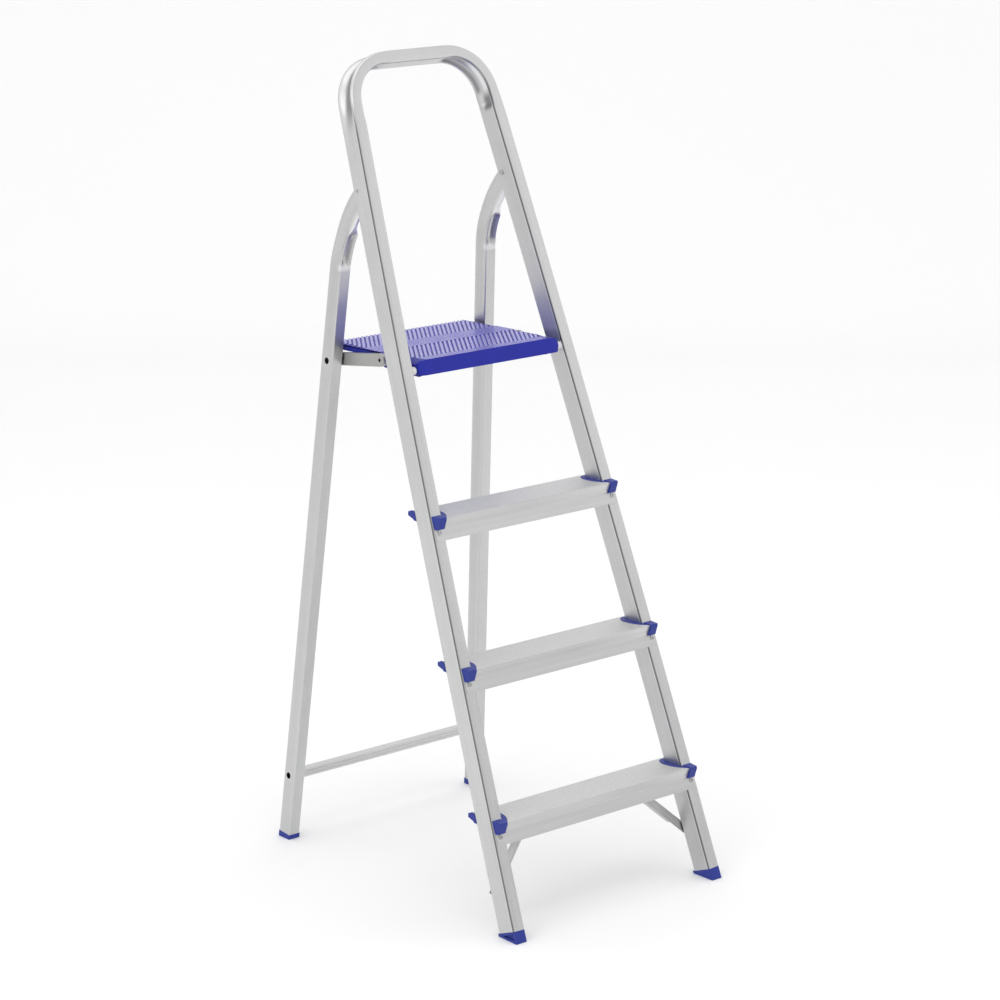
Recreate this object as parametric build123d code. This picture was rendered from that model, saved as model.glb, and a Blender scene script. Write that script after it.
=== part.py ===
"""Folding platform step ladder.

A bent hoop tube carries three treads and leans back over two hinged rear legs.
A hinged standing platform is tied to the rear legs by a pair of link bars.
Units are millimetres: X across, Y rearward, Z up, origin on the floor under the middle.
"""
import os
from math import cos, radians, sin, tan

from build123d import *

os.makedirs("parts", exist_ok=True)

# ---- Front hoop: one tube bent into two splayed stiles and a top bar -------------------
LEAN = radians(21.07)           # stiles lean rearward going up
FOOT_HALF = 224.2               # outer half width at the floor
SPLAY = 0.0511                  # half width lost per mm up the stile
BOW = 4.8                       # outward bow of the stiles at mid height
BOW_SPAN = 1300.0
HOOP_TOP = 1441.5               # outer edge of the top bar, measured up the stile
TUBE_W = 21.5                   # tube size across
TUBE_D = 39.5                   # tube size front to rear
WALL = 1.6
BEND_R = 85.0                   # outer bend radius
STILE_LOW = 21.0                # where the tube ends in its shoe

# ---- Treads ------------------------------------------------------------------------
TREAD_Z = {"lower": 183.6, "middle": 412.1, "upper": 640.6}
TREAD_NOSE = 16.5               # tread edge ahead of the stile's front face
TREAD_TAIL = 9.5                # tread edge behind the stile's rear face
BAND_Z = -18.8                  # crease between the slanted band and the lapping band
LAP_Z = -37.1                   # bottom of the lapping band
SHEET = 1.6
TOP_SKIN = 2.2
TREAD_INSET = 3.0               # tread end inside the stile's outer face
RIVET_DROP = -26.8              # rivets below the tread, measured down the stile
CAP_NOSE = 18.0                 # cap ahead of the stile's front face
CAP_FRONT = 18.0                # width of the cap's front closure
CAP_REAR = 5.0                  # width of the cap's rear closure
CAP_TAPER = 3.5                 # inset of the front closure's outer corner
RAMP_H = 4.6                    # cap's ramp above the tread, beside the stile
RAMP_SLOPE = 55.0               # taper of the ramp from upright

# ---- Rear legs ---------------------------------------------------------------------
LEG_Y = 608.0                   # front-bottom edge, behind the front shoe's toe
LEG_LEAN = radians(5.54)        # legs lean forward going up
LEG_HALF = 217.75               # outer half width at the floor
LEG_SPLAY = 0.05246 * cos(LEG_LEAN)
LEG_D = 28.7
LEG_W = 21.6
LEG_WALL = 1.5
LEG_LOW = 3.0                   # sole thickness under the leg
FOOT_SKIN = 0.3
FOOT_H = 8.0
BLADE = 6.0                     # thickness of the flattened leg top

DEPTH = LEG_Y + (LEG_D + FOOT_SKIN) / cos(LEG_LEAN)
FRONT_Y = -DEPTH / 2
REAR_Y = FRONT_Y + LEG_Y

# ---- Pivots (y measured from the toe, z from the floor) ----------------------------------
PIVOT_A = (FRONT_Y + 468.5, 1132.3)      # leg tops in the stiles
PIVOT_B = (FRONT_Y + 340.5, 857.0)       # platform axle
PIVOT_C = (FRONT_Y + 540.5, 844.0)       # link bars on the legs
PIVOT_D = (FRONT_Y + 430.0, 859.5)       # link bars at the platform
RIVET_R = 3.0
RUNNING = 0.05                           # radial clearance of turning pins
AXLE_R = 4.5
BUSH_R = 6.5

# ---- Platform and link bars ----------------------------------------------------------
DECK_HALF = 142.0
NOSE_HALF = 131.0               # half width of the straight front edge
BOSS_HALF = 150.0               # half width of the corners that take the axle
SKIRT_HALF = 136.0
LINK_IN = 142.5
LINK_OUT = 150.2
LINK_H = 21.5

SA, CA, TA = sin(LEAN), cos(LEAN), tan(LEAN)
STILE = Plane(origin=(0, FRONT_Y, 0), x_dir=(1, 0, 0), z_dir=(0, -CA, SA))
LEG = Plane(origin=(0, REAR_Y, 0), x_dir=(1, 0, 0), z_dir=(0, -cos(LEG_LEAN), -sin(LEG_LEAN)))
LEG_SIDE = Plane(origin=(0, REAR_Y, 0), x_dir=(0, cos(LEG_LEAN), sin(LEG_LEAN)), z_dir=(1, 0, 0))


def outer(t):
    """Outer half width of the hoop at a distance t up the stile."""
    share = t / BOW_SPAN
    return FOOT_HALF - SPLAY * t + 4 * BOW * share * (1 - share)


def leg_outer(s):
    """Outer half width of the rear legs at a distance s up the leg."""
    return LEG_HALF - LEG_SPLAY * s


def stile_t(y, z):
    """Distance up the stile of a point in the side view."""
    return (y - FRONT_Y) * SA + z * CA


def face_of(points):
    """Flat face from a closed list of points."""
    return make_face(Polyline(*points, close=True))


def slab(plane, points, near, far):
    """Prism on a plane whose normal points forward; near and far are depths behind it."""
    return extrude(plane.offset(-near) * face_of(points), amount=near - far)


def side_prism(points, x0, x1):
    """Prism of a side-view outline, from x0 to x1."""
    return extrude(Plane.YZ.offset(x0) * face_of(points), amount=x1 - x0)


def plan_prism(points, z0, z1):
    """Prism of a plan outline, from z0 to z1."""
    return extrude(Plane.XY.offset(z0) * face_of(points), amount=z1 - z0)


def cross_pin(x0, x1, y, z, r):
    """Cylinder along X."""
    return Pos((x0 + x1) / 2, y, z) * Rot(0, 90, 0) * Cylinder(r, abs(x1 - x0))


def stile_pin(x, t, near, far, r):
    """Cylinder square to the stile's front face, between two depths behind it."""
    return STILE.location * Pos(x, t, -(near + far) / 2) * Cylinder(r, far - near)


def both(shape):
    """A piece and its mirror image."""
    return [mirror(shape, about=Plane.YZ), shape]


def one(shape):
    """The single solid of a boolean result."""
    solids = shape.solids()
    assert len(solids) == 1, len(solids)
    return solids[0]


def arch(inset, low):
    """Area under the hoop's outer edge moved in by inset."""
    top = HOOP_TOP - inset
    middle = (low + top) / 2
    foot, waist, head = [(outer(t) - inset, t) for t in (low, middle, top)]
    right = ThreePointArc(foot, waist, head)
    left = mirror(right, about=Plane.YZ)
    area = make_face([right, left, Line(foot, (-foot[0], low)), Line(head, (-head[0], top))])
    return fillet(area.vertices().group_by(Axis.Y)[-1], BEND_R - inset)


def stile_shape():
    """The hoop as a filled bar, without its bore."""
    ring = arch(0, STILE_LOW) - arch(TUBE_W, STILE_LOW)
    return extrude(STILE * ring, amount=-TUBE_D)


HOOP_SOLID = stile_shape()


# ---- Tread section and caps ---------------------------------------------------------------
def tread_points():
    """Side-view section of a tread, measured from its top at the stile's front face."""
    lap = SHEET / CA
    rear = TUBE_D / CA
    fore_crease = BAND_Z * TA
    fore_foot = LAP_Z * TA
    return [
        (-TREAD_NOSE, 0),
        (rear + TREAD_TAIL, 0),
        (rear + fore_crease + lap, BAND_Z),
        (rear + fore_foot + lap, LAP_Z),
        (rear + fore_foot, LAP_Z),
        (rear + fore_crease, BAND_Z),
        (rear + TREAD_TAIL - 2.9, -TOP_SKIN),
        (-TREAD_NOSE + 2.9, -TOP_SKIN),
        (fore_crease, BAND_Z),
        (fore_foot, LAP_Z),
        (fore_foot - lap, LAP_Z),
        (fore_crease - lap, BAND_Z),
    ]


def at_tread(points, z):
    """Move section points to the tread at height z."""
    return [(FRONT_Y + z * TA + v, z + w) for v, w in points]


def nose_block(z):
    """Block ahead of the stile that the front closure takes up."""
    xo = outer(z / CA)
    side = [
        (TA, 1.0),
        (-CAP_NOSE, 1.0),
        (-CAP_NOSE - 0.6, -3.0),
        (-CAP_NOSE + 5.0, -19.0),
        (-19.0 * TA, -19.0),
    ]
    return side_prism(at_tread(side, z), xo - CAP_FRONT, xo + 3)


def cap_nose(z):
    """Front closure: nearly upright in front, its outer face turned in towards the nose."""
    y0 = FRONT_Y + z * TA
    xo = outer(z / CA)
    plan = [
        (xo - CAP_FRONT - 5, y0 + 12),
        (xo - CAP_FRONT - 5, y0 - CAP_NOSE - 3),
        (xo - CAP_TAPER, y0 - CAP_NOSE - 3),
        (xo - CAP_TAPER, y0 - CAP_NOSE + 2),
        (xo - 1.5, y0 - 3),
        (xo - 1.5, y0 + 12),
    ]
    return nose_block(z) & plan_prism(plan, z - 60, z + 30)


def cap_ramp(z):
    """Low ramp on the tread round the inner side of the stile."""
    y0 = FRONT_Y + z * TA
    xo = outer(z / CA)
    xi = xo - TUBE_W
    end = TUBE_D / CA + TREAD_TAIL - 3.3
    outline = [
        (xo - CAP_TAPER, -CAP_NOSE + 0.3),
        (xo - CAP_FRONT, -CAP_NOSE + 0.3),
        (xi - 4.0, -9.0),
        (xi - 9.5, -1.0),
        (xi - 13.5, 7.0),
        (xi - 15.5, 15.0),
        (xi - 17.3, 30.0),
        (xi - 12.0, 42.0),
        (xi - 3.0, end),
        (xo - CAP_REAR, end),
    ]
    base = face_of([(x, y0 + y) for x, y in outline])
    return extrude(Plane.XY.offset(z) * base, amount=RAMP_H, taper=RAMP_SLOPE)


def cap(z):
    """Right-hand end cap: ramp beside the stile, closures over both ends and a rear lug."""
    xo = outer(z / CA)
    rear = TUBE_D / CA
    tail = [
        (rear + 0.8 * TA, 0.8),
        (rear + TREAD_TAIL + 1.5, 0.8),
        (rear + TREAD_TAIL + 1.5, -3.0),
        (rear + 0.5, -13.5),
        (rear - 13.5 * TA, -13.5),
    ]
    lug = [(rear - 2, -1.0), (rear + 16.0, -1.1), (rear + 16.0, -7.6), (rear - 14.0 * TA, -14.0)]
    body = cap_nose(z)
    body += side_prism(at_tread(tail, z), xo - CAP_REAR, xo + 3)
    body += side_prism(at_tread(lug, z), xo - 3.2, xo - 0.4)
    body += cap_ramp(z)
    body -= HOOP_SOLID
    limit = extrude(STILE.offset(60) * arch(0, STILE_LOW), amount=-160)
    return one(body & limit)


def tread(z, caps, holes):
    """One tread extrusion, notched round the stiles and fitted under its caps."""
    half = outer(z / CA) + 5
    body = side_prism(at_tread(tread_points(), z), -half, half)
    limit = extrude(STILE.offset(60) * arch(TREAD_INSET, STILE_LOW), amount=-160)
    body = (body & limit) - HOOP_SOLID
    for piece in caps + both(nose_block(z)) + holes:
        body -= piece
    return max(body.solids(), key=lambda s: s.volume)


# ---- Fasteners of the treads ----------------------------------------------------------
def tread_rivets(front):
    """Pairs of rivets through the lapping bands into the stiles' front or rear walls."""
    rivets = []
    for z in TREAD_Z.values():
        y = FRONT_Y + z * TA
        t = stile_t(y, z) + RIVET_DROP
        x = outer(t) - TUBE_W / 2
        for side in (-1, 1):
            if front:
                shank = stile_pin(side * x, t, -SHEET, WALL + 2, 2.0)
                head = stile_pin(side * x, t, -SHEET - 1.4, -SHEET, 3.8)
                head -= stile_pin(side * x, t, -SHEET - 1.5, -SHEET, 1.6)
            else:
                t_rear = t + TUBE_D * TA
                shank = stile_pin(side * x, t_rear, TUBE_D - WALL - 2, TUBE_D + SHEET, 2.0)
                head = stile_pin(side * x, t_rear, TUBE_D + SHEET, TUBE_D + SHEET + 1.4, 4.0)
            rivets.append(one(shank + head))
    return rivets


FRONT_RIVETS = tread_rivets(True)
REAR_RIVETS = tread_rivets(False)


# ---- Braces under the lowest tread ----------------------------------------------------------
BRACE_TOP = (122.0, 176.0)      # across, up the stile
BRACE_FOOT = (210.0, 88.0)
BRACE_W = 15.0
BRACE_T = 2.0
BRACE_FLANGE = 7.0              # depth of the turned edge


def brace():
    """Angle strip behind the right stile, with a pad that meets the tube."""
    (x0, t0), (x1, t1) = BRACE_FOOT, BRACE_TOP
    length = ((x1 - x0) ** 2 + (t1 - t0) ** 2) ** 0.5
    ax = (x1 - x0) / length
    at = (t1 - t0) / length

    def strip(start, end, low, high, near, far):
        points = []
        for along, across in ((start, low), (end, low), (end, high), (start, high)):
            points.append((x0 + ax * along - at * across, t0 + at * along + ax * across))
        return slab(STILE, points, near, far)

    near = TUBE_D + SHEET
    body = strip(-9, length + 9, -BRACE_W / 2, BRACE_W / 2, near, near + BRACE_T)
    body += strip(38, length + 9, BRACE_W / 2 - BRACE_T, BRACE_W / 2, near, near + BRACE_FLANGE)
    return body + stile_pin(x0, t0, TUBE_D, near, 6.0)


def brace_pins():
    """Rivets at both ends of the right brace."""
    near = TUBE_D + SHEET + BRACE_T
    pins = []
    for (x, t), start in ((BRACE_FOOT, TUBE_D - WALL - 2), (BRACE_TOP, TUBE_D - 2)):
        shank = stile_pin(x, t, start, near, 2.0)
        head = stile_pin(x, t, near, near + 1.4, 4.0)
        pins.append(one(shank + head))
    return pins


BRACE_PINS = brace_pins()
ALL_BRACE_PINS = BRACE_PINS + [mirror(pin, about=Plane.YZ) for pin in BRACE_PINS]


# ---- Pivot hardware ---------------------------------------------------------------------
def leg_rivet():
    """Right leg pivot: shank through both stile walls, a broad inner and a small outer head."""
    y, z = PIVOT_A
    x = outer(stile_t(y, z)) - TUBE_W / 2
    inner = x - TUBE_W / 2 - 1.6
    body = cross_pin(inner, x, y, z, 4.6) - HOOP_SOLID
    body -= cross_pin(inner - 1, inner + 0.7, y, z, 2.2)
    return one(body + cross_pin(inner + 0.7, x + TUBE_W / 2 + 1.0, y, z, RIVET_R))


def axle():
    """Platform axle: rod through the inner walls of both stiles, with a ring inside each."""
    y, z = PIVOT_B
    wall = outer(stile_t(y, z)) - TUBE_W + WALL
    body = cross_pin(-wall - 5, wall + 5, y, z, AXLE_R)
    for side in (-1, 1):
        body += cross_pin(side * (wall + 1.0), side * (wall + 3.5), y, z, 6.5)
    return one(body)


def axle_bush():
    """Right spacer between the platform's corner and the stile."""
    y, z = PIVOT_B
    x = outer(stile_t(y, z)) - TUBE_W
    ring = cross_pin(BOSS_HALF + 0.3, x + 2, y, z, BUSH_R) - cross_pin(0, x + 5, y, z, AXLE_R)
    return one(ring - HOOP_SOLID)


LEG_RIVET = leg_rivet()
AXLE = axle()


# ---- Hoop -------------------------------------------------------------------------------
def hoop():
    """The bent tube with its bore, leg slots and fastener holes."""
    bore = arch(WALL, STILE_LOW - 10) - arch(TUBE_W - WALL, STILE_LOW - 10)
    body = HOOP_SOLID - extrude(STILE.offset(-WALL) * bore, amount=2 * WALL - TUBE_D)
    y, z = PIVOT_A
    t = stile_t(y, z)
    x = outer(t) - TUBE_W / 2
    for side in (-1, 1):
        left, right = side * x - 4, side * x + 4
        slot = [(left, t - 48), (right, t - 48), (right, t + 22), (left, t + 22)]
        body -= slab(STILE, slot, TUBE_D - WALL - 1, TUBE_D + 1)
    body -= cross_pin(-x - 20, x + 20, *PIVOT_A, RIVET_R)
    axle_end = outer(stile_t(*PIVOT_B)) - TUBE_W / 2
    body -= cross_pin(-axle_end, axle_end, *PIVOT_B, AXLE_R)
    for pin in FRONT_RIVETS + REAR_RIVETS + ALL_BRACE_PINS:
        body -= pin
    return one(body)


def shoe():
    """Right front shoe: wedge under the tube with a plug inside it and a side recess."""
    low = -20.0
    quad = [
        (outer(low) - TUBE_W, low),
        (outer(low), low),
        (outer(STILE_LOW), STILE_LOW),
        (outer(STILE_LOW) - TUBE_W, STILE_LOW),
    ]
    body = slab(STILE, quad, 0, TUBE_D + 3)
    plug = [
        (outer(STILE_LOW) - TUBE_W + 1.8, STILE_LOW),
        (outer(STILE_LOW) - 1.8, STILE_LOW),
        (outer(STILE_LOW + 30) - 1.8, STILE_LOW + 30),
        (outer(STILE_LOW + 30) - TUBE_W + 1.8, STILE_LOW + 30),
    ]
    body += slab(STILE, plug, 1.8, TUBE_D - 1.8)
    recess = [(FRONT_Y + 7, 4.0), (FRONT_Y + 34, 4.0), (FRONT_Y + 10, 15.0)]
    body -= side_prism(recess, FOOT_HALF - 4, FOOT_HALF + 5)
    body -= Pos(0, FRONT_Y, -50) * Box(1000, 400, 100)
    return one(body)


# ---- Rear frame -----------------------------------------------------------------------------
def leg_bar(grow, low, high):
    """Straight right leg as a filled bar, grown outward by grow."""
    points = [
        (leg_outer(low) + grow, low),
        (leg_outer(high) + grow, high),
        (leg_outer(high) - LEG_W - grow, high),
        (leg_outer(low) - LEG_W - grow, low),
    ]
    return slab(LEG, points, -grow, LEG_D + grow)


BEND_S = 1002.0                  # where the leg starts to bend forward


def leg_top(inset, blade):
    """Bent and flattened top of the right leg, moved in by inset."""
    rear = ThreePointArc((LEG_D - inset, BEND_S), (18 - inset, 1078), (-22.5 - inset, 1144.5 - inset))
    tip = ThreePointArc((-22.5 - inset, 1144.5 - inset), (-40.5 + inset, 1147.5 - inset), (-45 + inset, 1128))
    fore = ThreePointArc((-45 + inset, 1128), (-11.5 + inset, 1068), (inset, BEND_S))
    base = Line((inset, BEND_S), (LEG_D - inset, BEND_S))
    outline = extrude(LEG_SIDE.offset(110) * make_face([rear, tip, fore, base]), amount=80)
    centre = outer(stile_t(*PIVOT_A)) - TUBE_W / 2
    profile = [
        (leg_outer(BEND_S) - inset, BEND_S),
        (leg_outer(1020) - inset, 1020),
        (centre + blade / 2, 1070),
        (centre + blade / 2, 1170),
        (centre - blade / 2, 1170),
        (centre - blade / 2, 1070),
        (leg_outer(1020) - LEG_W + inset, 1020),
        (leg_outer(BEND_S) - LEG_W + inset, BEND_S),
    ]
    return outline & slab(LEG, profile, -80, 60)


LEG_SOLID = leg_bar(0, -20, BEND_S)


def crossbar_centre():
    """Side-view centre of the rear crossbar."""
    return FRONT_Y + 614.0, 113.5


def leg():
    """Right rear leg with bore, pivot hole and side openings."""
    body = LEG_SOLID + leg_top(0, BLADE)
    bore = leg_bar(-LEG_WALL, -30, BEND_S)
    room = slab(LEG, [(0, 990), (250, 990), (250, 1058), (0, 1058)], -80, 60)
    pocket = leg_top(LEG_WALL, BLADE - 2 * LEG_WALL) & room
    body -= bore + pocket
    body -= Pos(0, REAR_Y, LEG_LOW - 50) * Box(1000, 400, 100)
    body -= cross_pin(100, 200, *PIVOT_A, RIVET_R + RUNNING)
    for y, z in (PIVOT_C, crossbar_centre()):
        x = leg_outer(z / cos(LEG_LEAN))
        body -= cross_pin(x - 5, x + 5, y, z, 5.5)
        body -= cross_pin(x - LEG_W - 5, x - LEG_W + 5, y, z, 2.5)
    return one(body)


def leg_foot():
    """Right rear foot: sole and a low rim round the leg."""
    body = leg_bar(FOOT_SKIN, -20, FOOT_H) - (LEG_SOLID - Pos(0, REAR_Y, LEG_LOW - 50) * Box(1000, 400, 100))
    body -= Pos(0, REAR_Y, -50) * Box(1000, 400, 100)
    return one(body)


def crossbar():
    """Rear crossbar: hollow bar with grooved faces and a screw channel on a web."""
    y, z = crossbar_centre()
    half = LEG_HALF
    tube = Pos(0, y, z) * (Box(2 * half, 16, 14) - Box(2 * half, 12.4, 11) + Box(2 * half, 15, 1.5))
    for groove in (-2.6, 2.6):
        tube -= Pos(0, y, z + groove) * (Box(2 * half, 17, 1.0) - Box(2 * half, 14.6, 2.0))
    tube += cross_pin(-half, half, y, z, 4.2)
    tube -= cross_pin(-half, half, y, z, 2.5)
    for side in both(LEG_SOLID):
        tube -= side
    return max(tube.solids(), key=lambda s: s.volume)


def crossbar_screw():
    """Right crossbar screw, headed inside the leg."""
    y, z = crossbar_centre()
    inner = leg_outer(z / cos(LEG_LEAN)) - LEG_W
    shank = cross_pin(inner - 25, inner + 5, y, z, 2.5)
    head = cross_pin(inner, inner + 5, y, z, 4.5) & leg_bar(-LEG_WALL, -30, BEND_S)
    return one(shank + head)


def link_pin():
    """Right link pivot on the leg: head inside the leg, neck to a small head in the link."""
    y, z = PIVOT_C
    inner = leg_outer(z / cos(LEG_LEAN)) - LEG_W
    shank = cross_pin(LINK_OUT - 4.5, inner + 5, y, z, 2.5)
    head = cross_pin(inner, inner + 5, y, z, 4.5) & leg_bar(-LEG_WALL, -30, BEND_S)
    inboard = cross_pin(LINK_OUT - 4.5, LINK_OUT - 2.2, y, z, 5.0)
    return one(shank + head + inboard)


def link_washer():
    """Right washer between link bar and leg."""
    y, z = PIVOT_C
    ring = cross_pin(LINK_OUT + 0.2, LINK_OUT + 8, y, z, 7.0)
    ring -= cross_pin(LINK_OUT - 5, LINK_OUT + 12, y, z, 2.5)
    return max((ring - LEG_SOLID).solids(), key=lambda s: -s.center().X)


# ---- Link bars ----------------------------------------------------------------------------
def link_bar():
    """Right link bar: channel open inward with round ends on both pivots."""
    (yc, zc), (yd, zd) = PIVOT_C, PIVOT_D
    length = ((yc - yd) ** 2 + (zc - zd) ** 2) ** 0.5
    ay, az = (yc - yd) / length, (zc - zd) / length

    def outline(r, x0, x1):
        corners = [
            (yd - az * r, zd + ay * r),
            (yc - az * r, zc + ay * r),
            (yc + az * r, zc - ay * r),
            (yd + az * r, zd - ay * r),
        ]
        bar = side_prism(corners, x0, x1)
        return bar + cross_pin(x0, x1, yc, zc, r) + cross_pin(x0, x1, yd, zd, r)

    body = outline(LINK_H / 2, LINK_IN, LINK_OUT) - outline(LINK_H / 2 - 1.8, LINK_IN - 1, LINK_OUT - 2.0)
    body -= cross_pin(100, 200, yc, zc, 2.5 + RUNNING)
    body -= cross_pin(100, 200, yd, zd, RIVET_R)
    return one(body)


def link_stud():
    """Right rivet in the front end of the link bar."""
    y, z = PIVOT_D
    shank = cross_pin(LINK_IN, LINK_OUT, y, z, RIVET_R)
    return one(shank + cross_pin(LINK_OUT - 4.5, LINK_OUT - 2.0, y, z, 5.5))


# ---- Platform -------------------------------------------------------------------------------
DECK_FRONT = (FRONT_Y + 335.0, 873.6)
DECK_REAR = (FRONT_Y + 565.0, 868.5)
DECK_T = 3.4
GROOVE_PITCH = 9.0
GROOVE_TURN = 36.0


def deck_z(y):
    """Height of the platform's top face at y."""
    (y0, z0), (y1, z1) = DECK_FRONT, DECK_REAR
    return z0 + (z1 - z0) * (y - y0) / (y1 - y0)


def deck_grooves():
    """Diagonal grooves in two bands across the platform, cut into its top face."""
    cuts = []
    for y0, y1 in ((343.0, 437.0), (483.0, 568.0)):
        band = Pos(0, FRONT_Y + (y0 + y1) / 2, 870) * Box(2 * DECK_HALF + 4, y1 - y0, 20)
        span = DECK_HALF + 40
        for i in range(int(2 * span / GROOVE_PITCH)):
            x = -span + i * GROOVE_PITCH
            y = FRONT_Y + (y0 + y1) / 2
            bar = Pos(x, y, deck_z(y) + 1.3) * Rot(-1.27, 0, -GROOVE_TURN) * Box(2.6, 150, 5.0)
            cuts.append(bar & band)
    return cuts


def platform():
    """Standing platform: deck, front apron, outer lip and inner skirts that take the pivots."""
    y_front, y_rear = DECK_FRONT[0], DECK_REAR[0]
    top = [
        DECK_FRONT,
        DECK_REAR,
        (y_rear, DECK_REAR[1] - DECK_T),
        (y_front, DECK_FRONT[1] - DECK_T),
    ]
    deck = side_prism(top, -DECK_HALF, DECK_HALF)
    nose = [
        (y_front, 873.6),
        (y_front + 18, deck_z(y_front + 18)),
        (y_front + 18, 867.0),
        (y_front + 2.1, 866.0),
        (y_front - 5.5, 849.5),
        (y_front - 8, 849.5),
    ]
    deck += side_prism(nose, -NOSE_HALF, NOSE_HALF)
    for side in (-1, 1):
        wall = [(NOSE_HALF - 3, -8), (BOSS_HALF - 3, -8), (BOSS_HALF, -4), (BOSS_HALF, 14)]
        wall += [(BOSS_HALF - 2.2, 14), (BOSS_HALF - 2.2, -3), (BOSS_HALF - 4, -5.5), (NOSE_HALF - 3, -5.5)]
        deck += plan_prism([(side * x, y_front + y) for x, y in wall], 849.5, 870.0)
    wing = [
        (y_front - 8, 870.5),
        (y_front, 873.6),
        (y_front + 46, deck_z(y_front + 46)),
        (y_front + 46, deck_z(y_front + 46) - 5),
        (y_front - 8, 868.0),
    ]
    corners = [(BOSS_HALF - 3, -8), (BOSS_HALF, -4), (BOSS_HALF, 14), (147, 34), (DECK_HALF, 46)]
    outline = corners + [(-x, y) for x, y in reversed(corners)]
    plan = plan_prism([(x, y_front + y) for x, y in outline], 800, 900)
    deck += side_prism(wing, -BOSS_HALF, BOSS_HALF) & plan
    lip = [
        (y_front + 14, deck_z(y_front + 14)),
        DECK_REAR,
        (y_rear, DECK_REAR[1] - 11),
        (y_front + 45, deck_z(y_front + 45) - 6),
        (y_front + 14, deck_z(y_front + 14) - 6),
    ]
    skirt = [
        (y_front, 868.0),
        (y_rear - 4, DECK_REAR[1] - 2),
        (y_rear - 4, DECK_REAR[1] - 11),
        (y_front + 125, 856.5),
        (y_front + 100, 845.0),
        (y_front + 12, 843.5),
        (y_front - 4, 849.5),
    ]
    for side in (-1, 1):
        deck += side_prism(lip, side * DECK_HALF, side * (DECK_HALF - 2.2))
        deck += side_prism(skirt, side * SKIRT_HALF, side * (SKIRT_HALF - 2.2))
    rear = [(y_rear, DECK_REAR[1]), (y_rear, DECK_REAR[1] - 11), (y_rear - 2.2, DECK_REAR[1] - 11)]
    rear.append((y_rear - 2.2, DECK_REAR[1]))
    deck += side_prism(rear, -DECK_HALF, DECK_HALF)
    for x in (-68, 0, 68):
        rib = [(y_front, 868.5), (y_rear - 1, 866.5), (y_rear - 1, 859.5), (y_front + 20, 859.5)]
        deck += side_prism(rib, x - 1.1, x + 1.1)
    deck -= cross_pin(-BOSS_HALF - 1, BOSS_HALF + 1, *PIVOT_B, AXLE_R + RUNNING)
    for groove in deck_grooves():
        deck -= groove
    return one(deck)


def platform_stud():
    """Right pivot stud on the platform skirt, short of the link bar."""
    return cross_pin(SKIRT_HALF, LINK_IN - 0.3, *PIVOT_D, 4.5)


# ---- Build and write every node --------------------------------------------------------------
nodes = {}
nodes["hoop_frame"] = hoop()
for level, height in TREAD_Z.items():
    left_cap, right_cap = both(cap(height))
    holes = FRONT_RIVETS + REAR_RIVETS + ALL_BRACE_PINS
    nodes[f"tread_{level}"] = tread(height, [left_cap, right_cap], holes)
    nodes[f"tread_cap_{level}_left"] = left_cap
    nodes[f"tread_cap_{level}_right"] = right_cap
nodes["tread_front_rivets"] = Compound(children=FRONT_RIVETS)
nodes["tread_rear_rivets"] = Compound(children=REAR_RIVETS)
nodes["front_shoe_left"], nodes["front_shoe_right"] = both(shoe())
brace_left, brace_right = both(brace())
for pin in ALL_BRACE_PINS:
    brace_left -= pin
    brace_right -= pin
nodes["brace_left"] = one(brace_left)
nodes["brace_right"] = one(brace_right)
nodes["brace_rivets"] = Compound(children=ALL_BRACE_PINS)
nodes["platform_axle"] = AXLE
nodes["axle_bush_left"], nodes["axle_bush_right"] = both(axle_bush())
nodes["leg_pivot_rivets"] = Compound(children=both(LEG_RIVET))
nodes["rear_leg_left"], nodes["rear_leg_right"] = both(leg())
nodes["rear_foot_left"], nodes["rear_foot_right"] = both(leg_foot())
nodes["rear_crossbar"] = crossbar()
nodes["crossbar_screws"] = Compound(children=both(crossbar_screw()))
nodes["link_pins"] = Compound(children=both(link_pin()))
nodes["link_washers"] = Compound(children=both(link_washer()))
nodes["link_bar_left"], nodes["link_bar_right"] = both(link_bar())
nodes["link_studs"] = Compound(children=both(link_stud()))
nodes["platform"] = platform()
nodes["platform_studs"] = Compound(children=both(platform_stud()))

for name, shape in nodes.items():
    export_step(shape, f"parts/{name}.step")
    box = shape.bounding_box()
    print(name, len(shape.solids()), [round(v, 1) for v in (*box.min, *box.max)])
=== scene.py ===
"""Platform step ladder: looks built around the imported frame."""
from math import atan2, cos, hypot, pi, radians, sin, tan

import bmesh
import bpy
from mathutils import Euler, Matrix, Vector


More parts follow.
